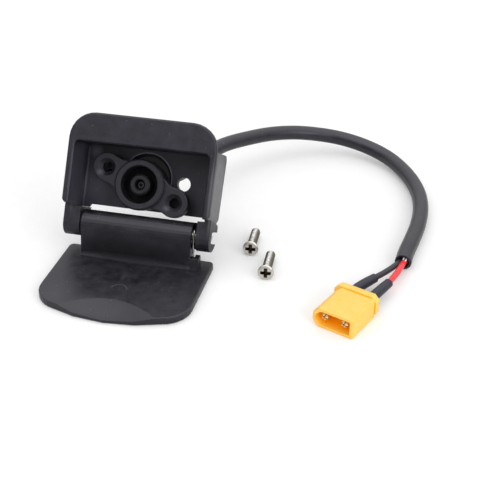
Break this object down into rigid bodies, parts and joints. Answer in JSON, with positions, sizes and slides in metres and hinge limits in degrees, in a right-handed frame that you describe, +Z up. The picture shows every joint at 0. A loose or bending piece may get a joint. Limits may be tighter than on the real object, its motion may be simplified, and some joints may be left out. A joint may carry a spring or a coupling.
{
  "type": "charge port inlet",
  "caption": "Flush charging inlet for a small electric vehicle: arched moulded housing with a sprung hinged cover, round two-ear socket, cable and two-pin connector.",
  "frame": {"origin": "middle of the open cover's outer face, which lies on the surface it stands on", "axes": "+Z up from that surface, +X along the hinge to the right as seen from the front, +Y from the cover's free edge towards the hinge and the back"},
  "size_m": [0.0856, 0.1, 0.0344],
  "materials": {
    "black_plastic": "satin moulded",
    "socket_plastic": "satin moulded, slightly lighter",
    "steel": "bright",
    "contact_metal": "bright plated",
    "boot_rubber": "matte",
    "cable_grey": "satin sheath",
    "red_wire": "semi-gloss insulation",
    "black_wire": "semi-gloss insulation",
    "heat_shrink": "matte",
    "yellow_nylon": "satin moulded",
    "gold": "bright plated"
  },
  "bodies": {
    "housing": {"housing": "black_plastic", "hinge_pin": "steel", "socket_body": "socket_plastic", "socket_core": "socket_plastic", "centre_contact": "contact_metal", "outer_contact": "contact_metal", "strain_relief": "boot_rubber", "cable_sheath": "cable_grey", "lead_black": "black_wire", "lead_red": "red_wire", "sleeve_black": "heat_shrink", "sleeve_red": "heat_shrink", "connector_shell": "yellow_nylon", "connector_cap": "yellow_nylon", "contact_pin_1": "gold", "contact_pin_2": "gold", "screw_1": "steel", "screw_2": "steel"},
    "cover": {"cover": "black_plastic", "torsion_spring": "steel"}
  },
  "joints": [
    {"name": "cover_hinge", "type": "hinge", "parent": "housing", "child": "cover", "pos_m": [0, 0.014, 0.00859], "axis": [1, 0, 0], "range_deg": [-120.5, 0], "deforming": ["torsion_spring"]}
  ]
}
